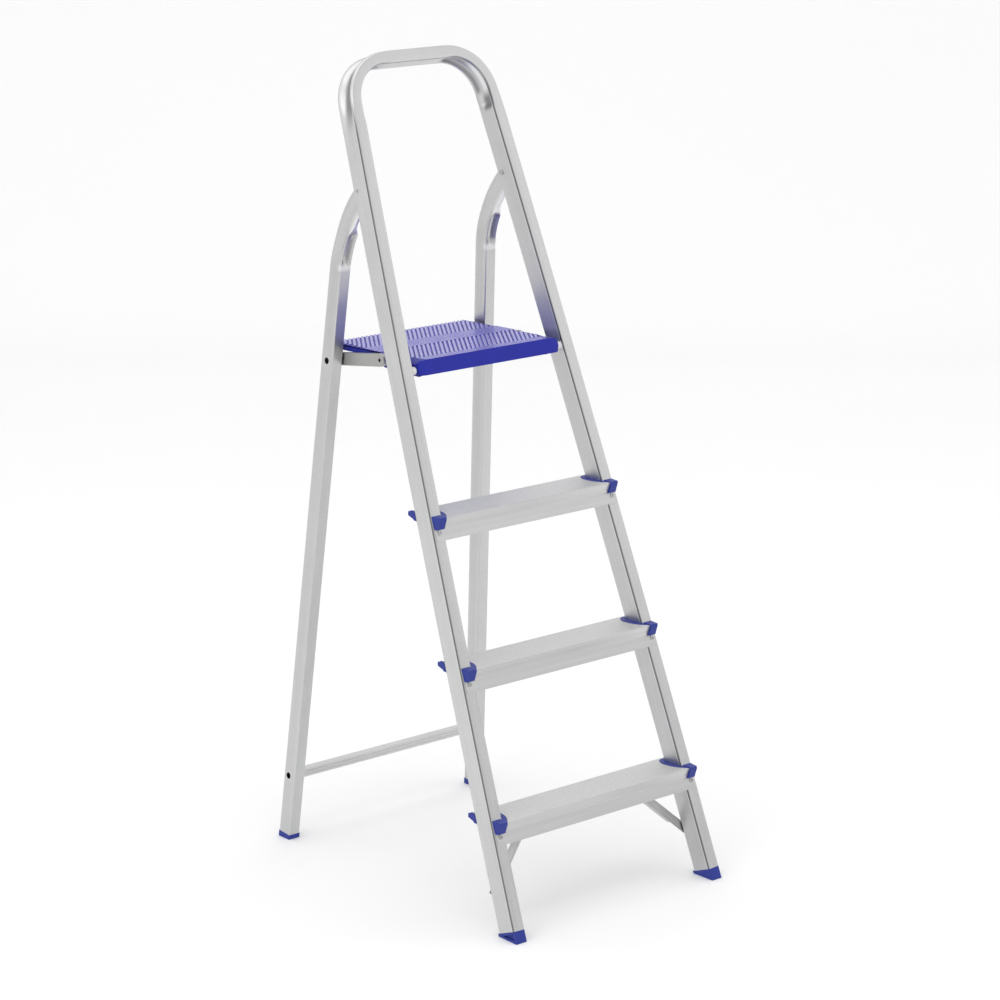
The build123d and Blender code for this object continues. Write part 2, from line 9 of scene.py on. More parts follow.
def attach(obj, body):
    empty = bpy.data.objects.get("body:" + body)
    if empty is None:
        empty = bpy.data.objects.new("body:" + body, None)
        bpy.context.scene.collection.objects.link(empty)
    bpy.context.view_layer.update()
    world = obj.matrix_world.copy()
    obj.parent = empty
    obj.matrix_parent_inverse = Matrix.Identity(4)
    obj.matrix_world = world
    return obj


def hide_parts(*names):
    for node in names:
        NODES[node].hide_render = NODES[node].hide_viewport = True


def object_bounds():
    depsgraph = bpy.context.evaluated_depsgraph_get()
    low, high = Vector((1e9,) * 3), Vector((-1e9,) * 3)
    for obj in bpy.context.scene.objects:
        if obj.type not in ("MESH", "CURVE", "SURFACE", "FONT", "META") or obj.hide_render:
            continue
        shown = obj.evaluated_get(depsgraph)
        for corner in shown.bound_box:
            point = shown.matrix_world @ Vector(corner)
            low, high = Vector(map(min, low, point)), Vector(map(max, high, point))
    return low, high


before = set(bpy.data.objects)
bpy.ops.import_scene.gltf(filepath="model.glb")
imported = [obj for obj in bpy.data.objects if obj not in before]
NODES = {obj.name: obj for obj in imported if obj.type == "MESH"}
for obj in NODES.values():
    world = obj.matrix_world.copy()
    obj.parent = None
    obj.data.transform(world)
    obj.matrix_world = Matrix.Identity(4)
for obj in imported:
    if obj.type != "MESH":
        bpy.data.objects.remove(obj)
CAD_BOX = [list(map(float, corner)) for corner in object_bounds()]
FRONT_Y = CAD_BOX[0][1]

# ---- Camera ------------------------------------------------------------------------------
VIEW_DOWN = 14.584              # degrees
VIEW_TURN = 40.288              # degrees
camera_data = bpy.data.cameras.new("camera")
camera_data.sensor_width = 36.0
camera_data.lens = 115.536
camera_data.clip_end = 100.0
camera = bpy.data.objects.new("camera", camera_data)
camera.location = (-3.2896, -3.5752 + FRONT_Y, 1.9489)
camera.rotation_euler = Euler((radians(90 - VIEW_DOWN), 0.0, radians(-VIEW_TURN)), "XYZ")
bpy.context.collection.objects.link(camera)
bpy.context.scene.camera = camera


# ---- Node helpers --------------------------------------------------------------------------
class Nodes:
    """Small builder for shader node trees."""

    def __init__(self, tree):
        self.tree = tree
        tree.nodes.clear()

    def add(self, kind, inputs=None, **settings):
        node = self.tree.nodes.new(kind)
        for key, value in settings.items():
            setattr(node, key, value)
        for key, value in (inputs or {}).items():
            if isinstance(value, bpy.types.NodeSocket):
                self.tree.links.new(value, node.inputs[key])
            else:
                node.inputs[key].default_value = value
        return node

    def math(self, operation, a, b=0.0, clamp=False):
        return self.add("ShaderNodeMath", {0: a, 1: b}, operation=operation, use_clamp=clamp).outputs[0]

    def span(self, value, low, high, to_low=0.0, to_high=1.0):
        inputs = {"Value": value, "From Min": low, "From Max": high, "To Min": to_low, "To Max": to_high}
        return self.add("ShaderNodeMapRange", inputs).outputs[0]

    def mix(self, factor, a, b):
        node = self.add("ShaderNodeMix", {"Factor": factor}, data_type="RGBA")
        for socket, value in ((node.inputs[6], a), (node.inputs[7], b)):
            if isinstance(value, bpy.types.NodeSocket):
                self.tree.links.new(value, socket)
            else:
                socket.default_value = value
        return node.outputs[2]

    def noise(self, vector, scale, detail=3.0, rough=0.55):
        inputs = {"Vector": vector, "Scale": scale, "Detail": detail, "Roughness": rough}
        return self.add("ShaderNodeTexNoise", inputs).outputs["Fac"]

    def scaled(self, vector, scale, turn=(0, 0, 0)):
        inputs = {"Vector": vector, "Scale": scale, "Rotation": turn}
        return self.add("ShaderNodeMapping", inputs).outputs[0]

    def bump(self, height, strength, distance, normal=None):
        inputs = {"Height": height, "Strength": strength, "Distance": distance}
        if normal is not None:
            inputs["Normal"] = normal
        return self.add("ShaderNodeBump", inputs).outputs[0]


def material(name):
    """New material with an empty tree."""
    mat = bpy.data.materials.new(name)
    mat.use_nodes = True
    return mat, Nodes(mat.node_tree)


def finish_material(n, inputs):
    """Principled shader and output."""
    shader = n.add("ShaderNodeBsdfPrincipled", inputs)
    n.add("ShaderNodeOutputMaterial", {"Surface": shader.outputs[0]})


def shades(base, darker, lighter):
    """Darker and lighter version of a colour, as RGBA."""
    return tuple(c * darker for c in base) + (1,), tuple(min(1.0, c * lighter) for c in base) + (1,)


def drawn_noise(n, vector, along, scale, scale_along, detail):
    """Noise drawn out into streaks along one axis."""
    stretch = [scale, scale, scale]
    stretch[along] = scale_along
    return n.noise(n.scaled(vector, stretch), 1.0, detail)


def aluminium(name, turn=(0, 0, 0), base=(0.66, 0.66, 0.66), rough=0.34, along=2, use_uv=False):
    """Satin aluminium with fine drawn streaks along one axis.

    The per-vertex attribute read below paints shade where it is positive and a painted highlight, paler and
    less metallic, where it is negative.
    """
    mat, n = material(name)
    coords = n.add("ShaderNodeTexCoord")
    source = coords.outputs["UV"] if use_uv else coords.outputs["Object"]
    turned = n.scaled(source, (1, 1, 1), turn)
    drawn = drawn_noise(n, turned, along, 900.0, 9.0, 2.0)
    bands = drawn_noise(n, turned, along, 160.0, 2.2, 3.0)
    cloud = n.noise(turned, 26.0, 4.0)
    wave = n.noise(turned, 5.0, 2.0)
    tone = n.math("ADD", n.math("MULTIPLY", drawn, 0.3), n.math("MULTIPLY", bands, 0.3))
    tone = n.math("ADD", tone, n.math("ADD", n.math("MULTIPLY", cloud, 0.2), n.math("MULTIPLY", wave, 0.3)))
    grain = n.noise(source, 330.0, 3.0, 0.7)
    dark, light = shades(base, 0.86, 1.08)
    colour = n.mix(n.span(tone, 0.3, 0.75), dark, light)
    colour = n.mix(n.span(grain, 0.35, 0.65, 0.0, 0.16), colour, (0.30, 0.30, 0.31, 1))
    painted_light = n.add("ShaderNodeAttribute", attribute_name="painted_light").outputs["Fac"]
    # Positive attribute values paint shade towards dark grey, negative ones a painted highlight towards near
    # white with less metal.
    painted_highlight = n.math("MULTIPLY", painted_light, -0.8, True)
    colour = n.mix(n.math("MULTIPLY", painted_light, 1.0, True), colour, (0.13, 0.13, 0.14, 1))
    colour = n.mix(painted_highlight, colour, (0.93, 0.93, 0.93, 1))
    metallic = n.span(painted_highlight, 0.0, 1.0, 1.0, 0.3)
    rough_out = n.span(tone, 0.3, 0.75, rough - 0.06, rough + 0.08)
    normal = n.bump(drawn, 0.10, 0.0004)
    finish_material(n, {"Base Color": colour, "Metallic": metallic, "Roughness": rough_out, "Normal": normal})
    return mat


def plastic(name, base, rough, grain=0.25, coat=0.0, shine=0.5):
    """Moulded plastic with a fine grain and slight mottling."""
    mat, n = material(name)
    coords = n.add("ShaderNodeTexCoord")
    mottle = n.noise(coords.outputs["Object"], 38.0, 4.0)
    fine = n.noise(coords.outputs["Object"], 900.0, 2.0)
    dark, light = shades(base, 0.85, 1.15)
    inputs = {
        "Base Color": n.mix(mottle, dark, light),
        "Roughness": n.span(mottle, 0.3, 0.7, rough - 0.05, rough + 0.07),
        "Normal": n.bump(fine, grain, 0.0003),
        "Coat Weight": coat,
        "Coat Roughness": 0.15,
        "Specular IOR Level": shine,
    }
    finish_material(n, inputs)
    return mat


LEAN = radians(21.07)
LEG_LEAN = radians(5.54)
TUBE_METAL = aluminium("tube_metal", use_uv=True, along=1)
LEG_METAL = aluminium("leg_metal", use_uv=True, along=1, base=(0.62, 0.62, 0.62))
BAR_METAL = aluminium("bar_metal", along=0)
FLAT_METAL = aluminium("flat_metal", turn=(LEAN, 0, 0))
LINK_METAL = aluminium("link_metal", along=1, base=(0.43, 0.43, 0.42))
ZINC = aluminium("zinc", base=(0.42, 0.42, 0.43), rough=0.35)
RIVET_METAL = aluminium("rivet_metal", base=(0.52, 0.52, 0.52), rough=0.25)
BLUE = plastic("blue_plastic", (0.026, 0.042, 0.27), 0.45, shine=0.25)
# One blue deck plastic in several copies: the ribs' copy is paler and lilac, a painted sheen, and the groove
# floors' copy is darker than the flat top, painted shade.
RIB_SHEEN_BLUE = plastic("deck_ribs", (0.150, 0.140, 0.56), 0.24, grain=0.12, coat=0.3)
DECK_BLUE = plastic("deck_blue", (0.020, 0.026, 0.32), 0.35, grain=0.12, shine=0.18)
TOP_BLUE = plastic("deck_top", (0.080, 0.070, 0.46), 0.28, grain=0.12, coat=0.1, shine=0.4)
GROOVE_SHADE_BLUE = plastic("deck_groove_shade", (0.085, 0.072, 0.36), 0.6, grain=0.3, shine=0.25)
WHITE = plastic("white_plastic", (0.80, 0.80, 0.82), 0.4)
DARK = plastic("dark_plastic", (0.03, 0.03, 0.035), 0.5)


RIDGE_STEP = 0.0034
SCORE_STEP = 0.0042


def tread_metal():
    """Tread aluminium: fine ribs and cross scoring on top, plain drawn bands elsewhere."""
    mat, n = material("tread_metal")
    coords = n.add("ShaderNodeTexCoord")
    point = coords.outputs["Object"]
    axes = n.add("ShaderNodeSeparateXYZ", {"Vector": point})
    drawn = drawn_noise(n, point, 0, 900.0, 9.0, 2.0)
    bands = drawn_noise(n, point, 0, 160.0, 2.2, 3.0)
    speck = n.noise(point, 420.0, 3.0, 0.7)
    geometry = n.add("ShaderNodeNewGeometry")
    up = n.add("ShaderNodeSeparateXYZ", {"Vector": geometry.outputs["True Normal"]}).outputs["Z"]
    on_top = n.span(up, 0.9, 0.97)
    ribs = n.math("SINE", n.math("MULTIPLY", axes.outputs["Y"], 2 * pi / RIDGE_STEP))
    cross = n.math("SINE", n.math("MULTIPLY", axes.outputs["X"], 2 * pi / SCORE_STEP))
    scored = n.math("MULTIPLY", n.math("MULTIPLY", ribs, cross), 0.35)
    pattern = n.math("ADD", n.math("MULTIPLY", ribs, 0.5), scored)
    tone = n.math("ADD", n.math("MULTIPLY", drawn, 0.4), n.math("MULTIPLY", bands, 0.6))
    plain = n.mix(n.span(tone, 0.3, 0.75), (0.56, 0.56, 0.56, 1), (0.68, 0.68, 0.68, 1))
    knurl = n.mix(n.span(speck, 0.3, 0.7), (0.58, 0.58, 0.58, 1), (0.80, 0.80, 0.79, 1))
    colour = n.mix(on_top, plain, knurl)
    height = n.math("MULTIPLY", pattern, on_top)
    normal = n.bump(height, 0.5, 0.0005, n.bump(drawn, 0.1, 0.0004))
    rough_out = n.span(on_top, 0.0, 1.0, 0.36, 0.5)
    finish_material(n, {"Base Color": colour, "Metallic": 0.8, "Roughness": rough_out, "Normal": normal})
    return mat


TREAD_METAL = tread_metal()


# ---- Meshes ------------------------------------------------------------------------------
def mesh_object(name, verts, faces, mat, uvs=None, painted_light=None):
    """Object from vertices and faces, smooth shaded, with optional per-vertex uv and a mask of painted shade
    and highlight.
    """
    mesh = bpy.data.meshes.new(name)
    mesh.from_pydata([tuple(v) for v in verts], [], faces)
    mesh.polygons.foreach_set("use_smooth", [True] * len(mesh.polygons))
    if uvs is not None:
        layer = mesh.uv_layers.new(name="uv")
        for loop in mesh.loops:
            layer.data[loop.index].uv = uvs[loop.vertex_index]
    if painted_light is not None:
        mask = mesh.attributes.new("painted_light", "FLOAT", "POINT")
        mask.data.foreach_set("value", painted_light)
    mesh.update()
    obj = bpy.data.objects.new(name, mesh)
    bpy.context.collection.objects.link(obj)
    mesh.materials.append(mat)
    return obj


def smoothstep(low, high, value):
    """Cubic step from 0 at low to 1 at high."""
    t = min(1.0, max(0.0, (value - low) / (high - low)))
    return t * t * (3 - 2 * t)


def band(low, rise, fall, high, value):
    """Smooth bump that rises from low to rise and falls from fall to high."""
    return smoothstep(low, rise, value) * (1 - smoothstep(fall, high, value))


def girth(outline):
    """Distance round an outline at each of its points."""
    around = [0.0]
    for a, b in zip(outline, outline[1:]):
        around.append(around[-1] + hypot(b[0] - a[0], b[1] - a[1]))
    return around


def skin(name, rings, mat, lengths, around, mask):
    """Tube through rings of points, open at both ends, with a value of painted shade and highlight for every
    point.
    """
    count = len(rings[0])
    verts = [p for ring in rings for p in ring]
    faces = []
    for i in range(len(rings) - 1):
        for j in range(count):
            k = (j + 1) % count
            faces.append((i * count + j, i * count + k, (i + 1) * count + k, (i + 1) * count + j))
    uvs = [(around[j], lengths[i]) for i in range(len(rings)) for j in range(count)]
    return mesh_object(name, verts, faces, mat, uvs, mask)


# ---- Hoop ----------------------------------------------------------------------------------
FOOT_HALF = 0.2242              # outer half width at the floor
SPLAY = 0.0511                  # narrowing per metre up the stile
BOW = 0.0048                    # outward bow of the stile at mid height
BOW_SPAN = 1.300
HOOP_TOP = 1.4415               # top edge, measured up the stile
TUBE_W = 0.0215
TUBE_D = 0.0395
TUBE_ROUND = 0.0025
BEND_R = 0.085
STILE_LOW = 0.021
PLAIN_STEPS = 60
FINE_STEPS = 22                 # closely spaced stations before a bend
FINE_STEP = 0.003               # also used for the legs
ARC_STEPS = 30
BAR_STEPS = 12
DENT = 0.0075                   # depth of the sunken walls at a bend
OUTER_EDGE_DENT = 0.0026        # the same at their front edge
INNER_EDGE_DENT = 0.0016


def outer(t):
    """Outer half width of the hoop at a distance t up the stile."""
    share = t / BOW_SPAN
    return FOOT_HALF - SPLAY * t + 4 * BOW * share * (1 - share)


def side_angle(t):
    """Angle between the stile's outer edge and the middle line at t."""
    return atan2(SPLAY - 4 * BOW * (1 - 2 * t / BOW_SPAN) / BOW_SPAN, 1.0)


def stile_point(x, t, m):
    """Point from across, up the stile and depth behind its front face."""
    return Vector((x, FRONT_Y + t * sin(LEAN) + m * cos(LEAN), t * cos(LEAN) - m * sin(LEAN)))


# Seam along the front corner as (depth behind the front face, inset, painted light value): positive values
# paint the seam's shade as a dark line, negative ones a painted highlight line behind it.
SEAM_ZONE = (0.0010, 0.0055)
SEAM = (
    (0.0052, 0.0, 0.0),
    (0.0049, 0.0, -0.6),
    (0.0041, 0.0, -0.6),
    (0.0038, 0.0001, 0.9),
    (0.0028, 0.0003, 0.9),
    (0.0014, 0.0003, 0.9),
    (0.0006, 0.0004, 0.9),
)


# Patches of painted shade (positive value) and painted highlight (negative value) on the side walls in the
# bends as (value, range in depth, range along the bend).
OUTER_PATCHES = (
    (0.62, (0.006, 0.013, 0.020, 0.028), (-0.40, 0.0, 0.40, 0.80)),
    (-0.35, (0.027, 0.030, 0.034, 0.037), (-0.7, 0.0, 0.4, 0.8)),
)
INNER_PATCHES = (
    (0.60, (0.007, 0.010, 0.024, 0.030), (-0.27, -0.20, -0.10, 0.0)),
    (0.55, (0.026, 0.029, 0.032, 0.035), (-0.04, 0.06, 0.90, 1.04)),
    (-1.1, (0.008, 0.011, 0.020, 0.025), (-0.04, 0.06, 0.38, 0.58)),
    (0.25, (0.006, 0.014, 0.022, 0.030), (0.45, 0.65, 0.95, 1.06)),
)


def tube_section():
    """Closed outline of the hoop tube: across from the outer edge, depth, and value of painted shade
    (positive) and painted highlight (negative).
    """
    w, d, r = TUBE_W, TUBE_D, TUBE_ROUND
    seam_top = 0.0062
    wall = [(0.0, d - r - (d - r - seam_top) * i / 12, 0.0) for i in range(1, 13)]
    wall += [(inset, m, shade) for m, inset, shade in SEAM]
    wall += [(0.0009, 0.0001, 0.4), (0.0014, 0.0, 0.0)]
    front = [(w * share, 0.0, 0.0) for share in (0.3, 0.5, 0.7)]
    rear = [(w * share, d, 0.0) for share in (0.7, 0.5, 0.3)]
    points = wall + front + [(w - a, m, shade) for a, m, shade in reversed(wall)]
    for cx, start, face in ((w - r, 0, rear), (r, 90, [])):
        for i in range(5):
            angle = radians(start + i * 22.5)
            points.append((cx + r * cos(angle), d - r + r * sin(angle), 0.0))
        points += face
    return points


def hoop_stations():
    """Stations along the hoop: outer edge point, outward normal and path length."""
    centre_t = HOOP_TOP - BEND_R
    tangent_t = centre_t
    for _ in range(4):
        tangent_t = centre_t + BEND_R * sin(side_angle(tangent_t))
    lean_in = side_angle(tangent_t)
    centre = Vector((outer(tangent_t) - BEND_R * cos(lean_in), centre_t))
    stations = []
    plain = tangent_t - FINE_STEPS * FINE_STEP
    places = [STILE_LOW + (plain - STILE_LOW) * i / PLAIN_STEPS for i in range(PLAIN_STEPS)]
    for t in places + [plain + FINE_STEP * i for i in range(FINE_STEPS)]:
        angle = side_angle(t)
        stations.append((Vector((outer(t), t)), Vector((cos(angle), sin(angle))), t - STILE_LOW))
    run = tangent_t - STILE_LOW
    turn = pi / 2 - lean_in
    for i in range(ARC_STEPS + 1):
        angle = lean_in + turn * i / ARC_STEPS
        normal = Vector((cos(angle), sin(angle)))
        stations.append((centre + normal * BEND_R, normal, run + turn * BEND_R * i / ARC_STEPS))
    at_top = run + turn * BEND_R
    half = centre.x
    for i in range(1, BAR_STEPS + 1):
        place = Vector((half * (1 - i / BAR_STEPS), HOOP_TOP))
        stations.append((place, Vector((0, 1)), at_top + half * i / BAR_STEPS))
    total = at_top + half
    for p, normal, s in stations[-2::-1]:
        stations.append((Vector((-p.x, p.y)), Vector((-normal.x, normal.y)), 2 * total - s))
    return stations, run, at_top, total


def wall_shade(m, along, inner):
    """Painted shade (positive) and painted highlight (negative) of a hoop side wall at depth m, with the
    inner walls painted darker all along; along runs from 0 to 1 through the bend.
    """
    shade, patches = (0.13, INNER_PATCHES) if inner else (0.03, OUTER_PATCHES)
    for value, depths, places in patches:
        shade += value * band(*depths, m) * band(*places, along)
    return shade


def build_hoop():
    """Bent tube with sunken outer and inner walls at the bends."""
    section = tube_section()
    stations, bend_in, bend_out, total = hoop_stations()
    rings = []
    lengths = []
    mask = []
    for p, normal, s in stations:
        d = min(s, 2 * total - s)
        along = (d - bend_in) / (bend_out - bend_in)
        outer_dent = band(bend_in - 0.050, bend_in + 0.02, bend_out - 0.035, bend_out + 0.02, d)
        inner_dent = band(bend_in - 0.034, bend_in - 0.018, bend_out - 0.010, bend_out + 0.012, d)
        # The seam's painted shade fades out into the bends: fully on the outer corner, partly on the inner.
        outer_seam = 1 - smoothstep(bend_in - 0.06, bend_in + 0.01, d)
        inner_seam = 1 - 0.45 * smoothstep(bend_in - 0.01, bend_in + 0.04, d)
        ring = []
        for a, m, g in section:
            trough = band(0.003, 0.013, 0.024, 0.034, m)
            edge = 1 - smoothstep(0.0, 0.006, m)
            side = (TUBE_W / 2 - a) / (TUBE_W / 2)
            seam = outer_seam if side > 0 else inner_seam
            shade = g * seam
            # Away from the seam, only the side walls take the painted shade and highlight of wall_shade.
            if g == 0 and m > SEAM_ZONE[1]:
                shade = wall_shade(m, along, side < 0) * min(1.0, 4 * max(0.0, abs(side) - 0.75))
            if SEAM_ZONE[0] < m < SEAM_ZONE[1]:
                a = a * seam if side > 0 else TUBE_W - (TUBE_W - a) * seam
            if side > 0:
                a += outer_dent * (DENT * trough + OUTER_EDGE_DENT * edge) * side
            else:
                a += inner_dent * (DENT * trough + INNER_EDGE_DENT * edge) * side
            q = p - normal * a
            ring.append(stile_point(q.x, q.y, m))
            mask.append(shade)
        rings.append(ring)
        lengths.append(s)
    hoop = skin("hoop", rings, TUBE_METAL, lengths, girth(section), mask)
    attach(hoop, "front_frame")
    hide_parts("hoop_frame")


build_hoop()

# ---- Rear legs -------------------------------------------------------------------------------
REAR_Y = FRONT_Y + 0.608
LEG_HALF = 0.21775              # outer half width at the floor
LEG_SPLAY = 0.05246 * cos(LEG_LEAN)
LEG_D = 0.0287
LEG_W = 0.0216
LEG_ROUND = 0.0020
LEG_WALL = 0.0015
LEG_LOW = 0.0032                # lowest point inside the foot
PIVOT_A = (0.4685, 1.1323)      # leg pivot behind the front edge and above the floor
BLADE_X = outer(PIVOT_A[0] * sin(LEAN) + PIVOT_A[1] * cos(LEAN)) - TUBE_W / 2
BLADE_SHARE = 0.28              # thickness of the flattened top as a share of the tube
BEND_S = 1.002                  # start of the bend, measured up the leg
LEG_BEND_R = 0.200
# Ranges up the leg where its shape or tone changes.
CROSSING = (1.0, 1.075)         # moves across to the pivot
PINCH = (1.012, 1.075)          # side walls close in
PINCH_FRONT = (1.064, 1.088)    # front wall closes in
BLADE_END = (1.150, 1.163)      # rounded tip
LEG_DENT = (1.004, 1.020, 1.060, 1.078)
# Ranges of the front wall painted paler, as painted highlights.
PALE_BELOW = (0.998, 1.003, 1.007, 1.013)
PALE_ABOVE = (1.066, 1.076, 1.120, 1.140)


def leg_point(x, n, s):
    """Point from across, depth behind the front-bottom edge and distance up the leg."""
    return Vector((x, REAR_Y + n * cos(LEG_LEAN) - s * sin(LEG_LEAN), n * sin(LEG_LEAN) + s * cos(LEG_LEAN)))


def leg_section():
    """Rounded rectangle of the leg tube as (across, depth) from its middle."""
    hx, hn, r = LEG_W / 2, LEG_D / 2, LEG_ROUND
    steps = (-0.8, -0.6, -0.4, -0.2, 0.0, 0.2, 0.4, 0.6, 0.8)
    sides = (
        (1, 1, 0, [(-v * (hx - r), hn) for v in steps]),
        (-1, 1, 90, [(-hx, -v * (hn - r)) for v in steps]),
        (-1, -1, 180, [(v * (hx - r), -hn) for v in steps]),
        (1, -1, 270, [(hx, v * (hn - r)) for v in steps]),
    )
    points = []
    for sx, sn, start, face in sides:
        for i in range(5):
            angle = radians(start + 22.5 * i)
            points.append((sx * (hx - r) + r * cos(angle), sn * (hn - r) + r * sin(angle)))
        points += face
    return points


def leg_spine(s):
    """Centre (depth, height) and turn of the leg at path length s."""
    if s <= BEND_S:
        return LEG_D / 2, s, 0.0
    turn = (s - BEND_S) / LEG_BEND_R
    return LEG_D / 2 - LEG_BEND_R * (1 - cos(turn)), BEND_S + LEG_BEND_R * sin(turn), turn


ACCESS_R = 0.0055
ACCESS = ((0.5405, 0.844), (0.614, 0.1135))     # openings behind the front edge and above the floor


def cut_access(leg, side):
    """Wall thickness and round access openings in the leg's outer wall."""
    cutters = bmesh.new()
    for depth, height in ACCESS:
        wall = LEG_HALF - LEG_SPLAY * height / cos(LEG_LEAN)
        place = Matrix.Translation((side * wall, FRONT_Y + depth, height)) @ Matrix.Rotation(pi / 2, 4, "Y")
        bmesh.ops.create_cone(
            cutters, cap_ends=True, segments=32, radius1=ACCESS_R, radius2=ACCESS_R, depth=0.012, matrix=place
        )
    mesh = bpy.data.meshes.new("cutters")
    cutters.to_mesh(mesh)
    cutters.free()
    tool = bpy.data.objects.new("cutters", mesh)
    bpy.context.collection.objects.link(tool)
    shell = leg.modifiers.new("shell", "SOLIDIFY")
    shell.thickness = LEG_WALL
    shell.offset = -1
    cut = leg.modifiers.new("cut", "BOOLEAN")
    cut.object = tool
    cut.solver = "EXACT"
    depsgraph = bpy.context.evaluated_depsgraph_get()
    result = bpy.data.meshes.new_from_object(leg.evaluated_get(depsgraph))
    result.set_sharp_from_angle(angle=radians(35))
    leg.modifiers.clear()
    leg.data = result
    bpy.data.objects.remove(tool)


def build_leg(side):
    """Leg tube that bends forward and flattens into a blade at the pivot."""
    section = leg_section()
    plain = [0.0, 0.008, 0.020] + [0.05 * i for i in range(1, 20)]
    stops = plain + [0.965 + FINE_STEP * i for i in range(67)]
    rings = []
    mask = []
    for s in stops:
        n0, s0, turn = leg_spine(s)
        pinch = smoothstep(*PINCH, s)
        pinch_front = smoothstep(*PINCH_FRONT, s)
        deep = 1 + 0.14 * pinch
        lift = LEG_HALF - LEG_SPLAY * s0 - LEG_W / 2
        centre_x = lift + (BLADE_X - lift) * smoothstep(*CROSSING, s)
        dent = band(*LEG_DENT, s)
        end = smoothstep(*BLADE_END, s)
        ring = []
        for x, n in section:
            share_x = abs(x) / (LEG_W / 2)
            share_n = n / (LEG_D / 2)
            front = smoothstep(0.2, 1.0, -share_n)
            waist = 1 - smoothstep(0.35, 0.95, abs(share_n))
            hollow = 1 - smoothstep(0.25, 0.92, share_x)
            thick = 1 + (BLADE_SHARE - 1) * (pinch + (pinch_front - pinch) * front)
            across = x * thick * (1 - 0.25 * pinch * waist)
            depth = n * deep * (1 - 0.35 * end) + 0.0085 * dent * front * hollow
            if n > 0:
                depth += 0.004 * pinch * share_n
            ring.append(leg_point(side * (centre_x + across), n0 + depth * cos(turn), s0 + depth * sin(turn)))
            # Painted shade on the side walls, more on the inner one; a painted shaded rim round the front
            # dent with a painted highlight in its middle; painted highlights on the front wall in the two
            # pale ranges.
            shade = smoothstep(0.85, 0.95, share_x) * waist * (1 - pinch) * (0.04 if x > 0 else 0.12)
            oval = front * hollow * dent
            shade += 0.55 * oval * smoothstep(0.16, 0.45, share_x)
            shade -= 0.5 * oval * (1 - smoothstep(0.05, 0.20, share_x))
            shade -= front * 0.7 * band(*PALE_BELOW, s)
            shade -= front * 0.8 * band(*PALE_ABOVE, s)
            mask.append(shade)
        rings.append(ring)
    for p in rings[0]:
        p.z = max(p.z, LEG_LOW)
    name = "right" if side > 0 else "left"
    leg = skin(f"leg_{name}", rings, LEG_METAL, stops, girth(section), mask)
    cap = bmesh.new()
    cap.from_mesh(leg.data)
    bmesh.ops.holes_fill(cap, edges=[e for e in cap.edges if e.is_boundary], sides=0)
    bmesh.ops.recalc_face_normals(cap, faces=cap.faces)
    cap.to_mesh(leg.data)
    cap.free()
    cut_access(leg, side)
    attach(leg, "rear_frame")
    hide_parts(f"rear_leg_{name}")


for side in (-1, 1):
    build_leg(side)


# ---- Platform and link bars ---------------------------------------------------------------------
def loft(bm, rings, slot=0):
    """Closed solid through rings of points, capped at both ends."""
    rows = [[bm.verts.new(p) for p in ring] for ring in rings]
    count = len(rows[0])
    faces = [bm.faces.new(rows[0][::-1]), bm.faces.new(rows[-1])]
    for low, high in zip(rows, rows[1:]):
        for j in range(count):
            k = (j + 1) % count
            faces.append(bm.faces.new((low[j], low[k], high[k], high[j])))
    for face in faces:
        face.material_index = slot
    return faces


def round_edges(obj, width, angle):
    """Bevel on every edge sharper than an angle in degrees, with weighted normals."""
    bevel = obj.modifiers.new("bevel", "BEVEL")
    bevel.width = width
    bevel.segments = 2
    bevel.limit_method = "ANGLE"
    bevel.angle_limit = radians(angle)
    normal = obj.modifiers.new("normal", "WEIGHTED_NORMAL")
    normal.keep_sharp = False


def bevelled(name, bm, mats, width):
    """Object from a bmesh of closed solids, with rounded edges."""
    bmesh.ops.recalc_face_normals(bm, faces=bm.faces)
    mesh = bpy.data.meshes.new(name)
    bm.to_mesh(mesh)
    bm.free()
    mesh.polygons.foreach_set("use_smooth", [True] * len(mesh.polygons))
    for mat in mats:
        mesh.materials.append(mat)
    obj = bpy.data.objects.new(name, mesh)
    bpy.context.collection.objects.link(obj)
    round_edges(obj, width, 30)
    return obj


DECK_Y = (FRONT_Y + 0.335, FRONT_Y + 0.565)
DECK_Z = (0.8736, 0.8685)       # height of the top at the front and at the rear
DECK_HALF = 0.142
NOSE_HALF = 0.1293              # half width at the front edge
CORNER_RUN = 0.046              # length of the cut-back front corners
DECK_T = 0.0034
PLATE_T = 0.0022                # thickness of lips, skirts, ribs below and apron
LIP_DROP = 0.011
RIB_BANDS = ((0.355, 0.437), (0.483, 0.565))
RIB_PITCH = 0.009
RIB_TURN = radians(36)
RIB_H = 0.0014
RIB_STEPS = 24
SKIRT_X = 0.136
SKIRT_LOW = 0.8435
UNDER_RIB_X = (-0.068, 0.0, 0.068)
UNDER_RIB_LOW = 0.8595
# Material slots of the platform.
PLAIN, GROOVE, TOP, RIB = range(4)


def deck_z(y):
    """Height of the platform's top face at y."""
    return DECK_Z[0] + (DECK_Z[1] - DECK_Z[0]) * (y - DECK_Y[0]) / (DECK_Y[1] - DECK_Y[0])


def deck_half(y):
    """Half width of the deck's top face at y: cut back towards the front edge."""
    return NOSE_HALF + (DECK_HALF - NOSE_HALF) * min(1.0, max(0.0, (y - DECK_Y[0]) / CORNER_RUN))


